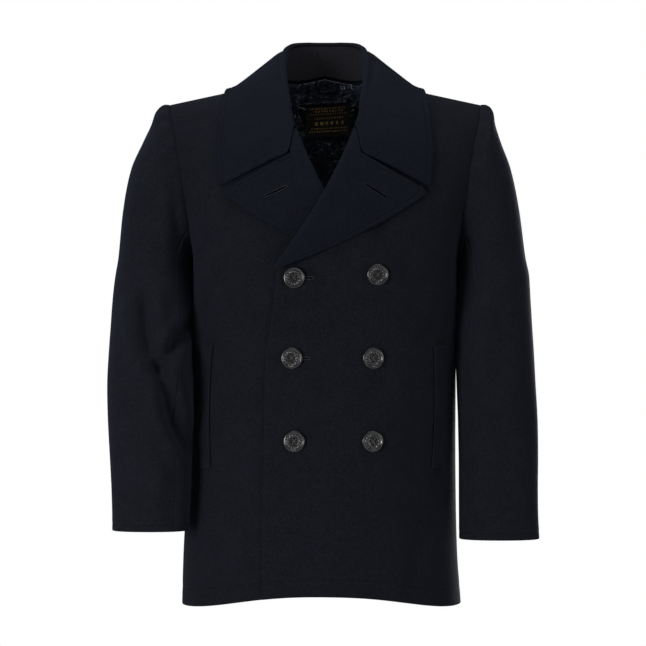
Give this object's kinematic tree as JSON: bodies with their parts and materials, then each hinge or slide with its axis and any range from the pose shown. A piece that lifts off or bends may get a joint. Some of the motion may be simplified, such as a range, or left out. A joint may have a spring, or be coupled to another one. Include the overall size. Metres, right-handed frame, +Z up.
{
  "type": "pea coat",
  "caption": "Double-breasted hip-length wool pea coat with a wide collar and lapels, two-piece sleeves and slit hand pockets, filled out as it is worn with no wearer",
  "frame": {"origin": "midway between the shoulders at the base of the neck, where the wearer's shoulders carry the coat", "axes": "+X towards the wearer's left sleeve, +Y to the wearer's back, +Z up"},
  "size_m": [0.629, 0.2984, 0.8338],
  "materials": {
    "melton": "matte felted wool",
    "satin": "smooth satin",
    "label": "woven, with plain gold dashes",
    "button": "polished"
  },
  "bodies": {
    "root": {"front_left": "melton", "front_right": "melton", "back_left": "melton", "back_right": "melton", "sleeve_left_top": "melton", "sleeve_left_under": "melton", "sleeve_right_top": "melton", "sleeve_right_under": "melton", "lapel_left": "melton", "lapel_right": "melton", "collar_leaf": "melton", "collar_stand": "melton", "pocket_welt_left": "melton", "pocket_welt_right": "melton", "lining_back": "satin", "hanger_loop": "satin", "label": "label", "button_top_inner": "button", "button_top_outer": "button", "button_middle_inner": "button", "button_middle_outer": "button", "button_low_inner": "button", "button_low_outer": "button"}
  },
  "joints": []
}
